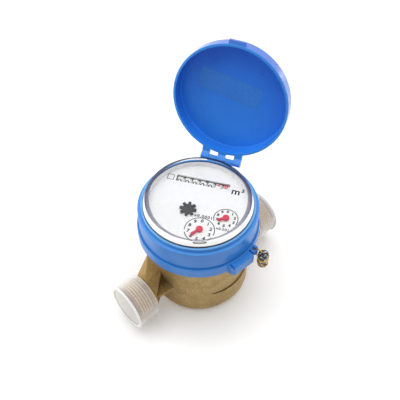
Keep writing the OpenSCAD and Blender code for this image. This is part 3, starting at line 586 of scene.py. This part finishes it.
def pointer_scale(ink, centre, ring_r, digit_r, digit_h, arcs):
    """Ring of figures 0 to 9, clockwise from the top, inside a thin broken circle."""
    u, v = centre
    for start, end in arcs:
        ink.take(*arc_strip(ring_r * MM, SCALE_LINE * MM, start, end), on_dial(u, v))
    for n in range(10):
        a = math.radians(90 - 36 * n)
        ink.take(*glyph_mesh(str(n), digit_h * MM, SCALE_BOLD * MM),
                 on_dial(u + digit_r * math.cos(a), v + digit_r * math.sin(a)))


def empty_box(ink):
    """Thin frame left of the rollers."""
    (x0, y0), (x1, y1) = BOX_LOW, BOX_HIGH
    for edge in ((x0, y0, x1, y0 + BOX_LINE), (x0, y1 - BOX_LINE, x1, y1),
                 (x0, y0, x0 + BOX_LINE, y1), (x1 - BOX_LINE, y0, x1, y1)):
        ink.take(*bar(*(e * MM for e in edge)), on_dial(0, 0))


black = Sheet()
pointer_scale(black, FINE_CENTRE, FINE_RING_R, FINE_DIGIT_R, FINE_DIGIT_H, FINE_ARCS)
pointer_scale(black, COARSE_CENTRE, COARSE_RING_R, COARSE_DIGIT_R, COARSE_DIGIT_H, COARSE_ARCS)
for words, word_h, bold, spacing, spot in DIAL_WORDS:
    black.take(*glyph_mesh(words, word_h * MM, bold * MM, spacing), on_dial(*spot))
empty_box(black)
black.lay("dial_print", "meter", "ink_black")

# Figures round the rollers, counted from the right: what each shows, part turned
SHOWN = (7.55, 1.4, 0.4, 0.4, 0.4, 0.4, 0.4)
RED_ROLLERS = 2
ROLLER_R = 5.2 * MM
ROW_UP = 16.95 * MM
ROW_RIGHT = 15.7 * MM
ROLLER_STEP = 4.93 * MM
DRUM_MIDDLE = 2.6 * MM
FIGURE_H = 2.9 * MM
FIGURE_WIDEN = 1.4
FIGURE_BOLD = 0.08 * MM


def roller_figures(k, shown):
    low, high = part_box("counter_roller_%d" % k)
    axis_z = (low.z + high.z) / 2
    middle = ROW_RIGHT - (k - 1) * ROLLER_STEP - DRUM_MIDDLE
    r = ROLLER_R + INK_LIFT
    ink = Sheet()
    for n in range(10):
        turn = ((n - shown + 5) % 10 - 5) * math.radians(36)

        def wrap(p, turn=turn):
            a = turn + p.y / ROLLER_R
            return (DIAL_RIGHT * (middle + p.x * FIGURE_WIDEN) + DIAL_UP * (ROW_UP + r * math.sin(a))
                    + Vector((0, 0, axis_z + r * math.cos(a))))

        ink.take(*glyph_mesh(str(n), FIGURE_H, FIGURE_BOLD), wrap)
    ink.lay("roller_figures_%d" % k, "roller_%d" % k, "ink_red" if k <= RED_ROLLERS else "ink_black")


for number, value in enumerate(SHOWN, 1):
    roller_figures(number, value)


# Small pieces


def seal_turns():
    """Three turns of wire round the crimped seal, aslant."""
    wire_r, clearance = 0.32 * MM, 0.1 * MM
    low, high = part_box("crimp_seal")
    middle = (low + high) / 2
    reach = (high.x - low.x) / 2 + clearance
    turns = Sheet()
    for height, tilt, lean in ((2.4, 0.35, 0.4), (-0.6, -0.5, 1.2), (-3.2, 0.3, 2.4)):
        path = [middle + Vector((reach * math.cos(a), reach * math.sin(a),
                                 height * MM + reach * math.tan(tilt) * math.cos(a - lean)))
                for a in circle_angles(40)]
        turns.take(*closed_tube(path, wire_r), Vector)
    smooth(turns.lay("seal_turns", "meter", "seal_wire"))


def lid_label():
    """Blank clear label on the lid's underside."""
    centre, half_l, half_w, thick, tilt = (-5.4, 2.9), 20.4, 7.0, 0.08, math.radians(9.9)
    corners = []
    for a, b in ((-1, -1), (1, -1), (1, 1), (-1, 1)):
        length, width = a * half_l, b * half_w
        corners.append(((centre[0] + width * math.cos(tilt) - length * math.sin(tilt)) * MM,
                        (centre[1] + width * math.sin(tilt) + length * math.cos(tilt)) * MM))
    points = [on_lid(x, y, LID_UNDER - h * MM) for h in (0.0, thick) for x, y in corners]
    sides = [(i, i + 4, (i + 1) % 4 + 4, (i + 1) % 4) for i in range(4)]
    label = Sheet()
    label.take(points, [(0, 1, 2, 3), (7, 6, 5, 4)] + sides, Vector)
    label.lay("blank_label", "lid_set", "label_film")


def lid_marks():
    """Round marks that the mould's ejectors leave on the lid's underside."""
    outward, sideways, mark_r, line_r = 20.2, 17.6, 2.2, 0.09
    marks = Sheet()
    for x, y in ((-outward, -sideways), (-outward, sideways), (outward, -sideways), (outward, sideways)):
        path = [on_lid((x + mark_r * math.cos(a)) * MM, (y + mark_r * math.sin(a)) * MM, LID_UNDER)
                for a in circle_angles(32)]
        marks.take(*closed_tube(path, line_r * MM, 6), Vector)
    smooth(marks.lay("ejector_marks", "lid_set", "blue_lid"))


def glass_mark():
    """Oblong witness line on the slope of the glass, in front."""
    middle, half_sweep, half_width, line_r = -129.5, 6.6, 0.5, 0.2
    mark_r, mark_z = 32.72, 81.72
    path = []
    for a in circle_angles(48):
        sweep = middle + half_sweep * math.copysign(min(1.0, abs(math.cos(a)) ** 0.5), math.cos(a))
        down = half_width * math.sin(a)
        r, z = (mark_r + down * SLOPE_OUT) * MM, (mark_z - down * SLOPE_DOWN) * MM
        path.append(Vector((r * math.cos(math.radians(sweep)), r * math.sin(math.radians(sweep)), z)))
    mark = Sheet()
    mark.take(*closed_tube(path, line_r * MM, 8), Vector)
    smooth(mark.lay("glass_mark", "meter", "ink_black"))


seal_turns()
lid_label()
lid_marks()
glass_mark()

# Studio: a dome that lights softly and looks white, a pale floor, three lamps and the camera

world = bpy.data.worlds.new("studio")
bpy.context.scene.world = world
world.use_nodes = True
world.node_tree.nodes.clear()
sky = Wire(world.node_tree)
aim = sky.add("ShaderNodeTexCoord", out=0)
rise = part_of(aim, "z").clamp(-0.1, 0.9)
dome = rise.blend((0.26, 0.26, 0.265, 1), (0.7, 0.7, 0.7, 1))
fill = sky.add("ShaderNodeBackground", {}, {"Color": dome, "Strength": 1.0})
white = sky.add("ShaderNodeBackground", {}, {"Color": WHITE, "Strength": 1.0})
sky.add("ShaderNodeOutputWorld", {}, {"Surface": mixed(seen_rays(sky), fill, white)})

FLOOR_HALF = 6.0
FLOOR_GLOW = 0.09
WHITE_FROM, WHITE_AT = 0.16, 0.6


def floor_material():
    """Pale floor that keeps its shadow near the meter and looks white farther out."""
    material, start, place = new_material("pale_floor")
    tone = mottle(place, 40, 2).blend((0.86, 0.86, 0.86, 1), (0.88, 0.88, 0.88, 1))
    shade = start.add("ShaderNodeBsdfDiffuse", {}, {"Color": tone})
    pale = start.add("ShaderNodeBsdfDiffuse", {}, {"Color": (0.97, 0.97, 0.97, 1)})
    glow = start.add("ShaderNodeEmission", {}, {"Color": WHITE, "Strength": FLOOR_GLOW})
    lit = start.add("ShaderNodeAddShader", {}, {0: pale, 1: glow})
    white_out = start.add("ShaderNodeEmission", {}, {"Color": WHITE, "Strength": 1.0})
    lit = mixed(length_of(place).clamp(WHITE_FROM, WHITE_AT), lit, white_out)
    start.add("ShaderNodeOutputMaterial", {}, {"Surface": mixed(seen_rays(start), shade, lit)})
    return material


floor_mesh = bpy.data.meshes.new("floor")
floor_corners, floor_faces = bar(-FLOOR_HALF, -FLOOR_HALF, FLOOR_HALF, FLOOR_HALF)
floor_mesh.from_pydata(floor_corners, [], floor_faces)
floor = bpy.data.objects.new("floor", floor_mesh)
bpy.context.scene.collection.objects.link(floor)
floor_mesh.materials.append(floor_material())

VIEW_RIGHT = Vector((0.7547, -0.6561, 0.0))
VIEW_UP = Vector((0.5093, 0.5858, 0.6304))
VIEW_BACK = Vector((-0.4136, -0.4757, 0.7763))
VIEW_FROM = (-0.15556, -0.18048, 0.37332)
LENS, SENSOR = 56.564, 36.0
MIDDLE = Vector((0, 0, 0.06))


def lamp(name, place, size, power, mirrored=True):
    """Round soft lamp that looks at the meter's middle."""
    light = bpy.data.lights.new(name, "AREA")
    light.shape = "DISK"
    light.size = size
    light.energy = power
    holder = bpy.data.objects.new(name, light)
    bpy.context.scene.collection.objects.link(holder)
    holder.visible_glossy = mirrored
    holder.location = place
    holder.rotation_euler = (MIDDLE - place).to_track_quat("-Z", "Y").to_euler()


lamp("key", MIDDLE + Vector((0.07, 0.1, 0.98)), 1.0, 6.4, False)
lamp("left", MIDDLE - VIEW_RIGHT * 0.7 + VIEW_UP * 0.2 + VIEW_BACK * 0.1, 0.4, 1.6)
lamp("right", MIDDLE + VIEW_RIGHT * 0.7 + VIEW_UP * 0.3 - VIEW_BACK * 0.25, 0.4, 2.4)

camera_data = bpy.data.cameras.new("camera")
camera = bpy.data.objects.new("camera", camera_data)
bpy.context.scene.collection.objects.link(camera)
camera_data.sensor_fit = "HORIZONTAL"
camera_data.sensor_width = SENSOR
camera_data.lens = LENS
camera_data.clip_start = 0.01
camera_data.clip_end = 30.0
turn = Matrix((VIEW_RIGHT, VIEW_UP, VIEW_BACK)).transposed().to_4x4()
camera.matrix_world = Matrix.Translation(VIEW_FROM) @ turn
bpy.context.scene.camera = camera
bpy.context.scene.view_settings.view_transform = "Standard"
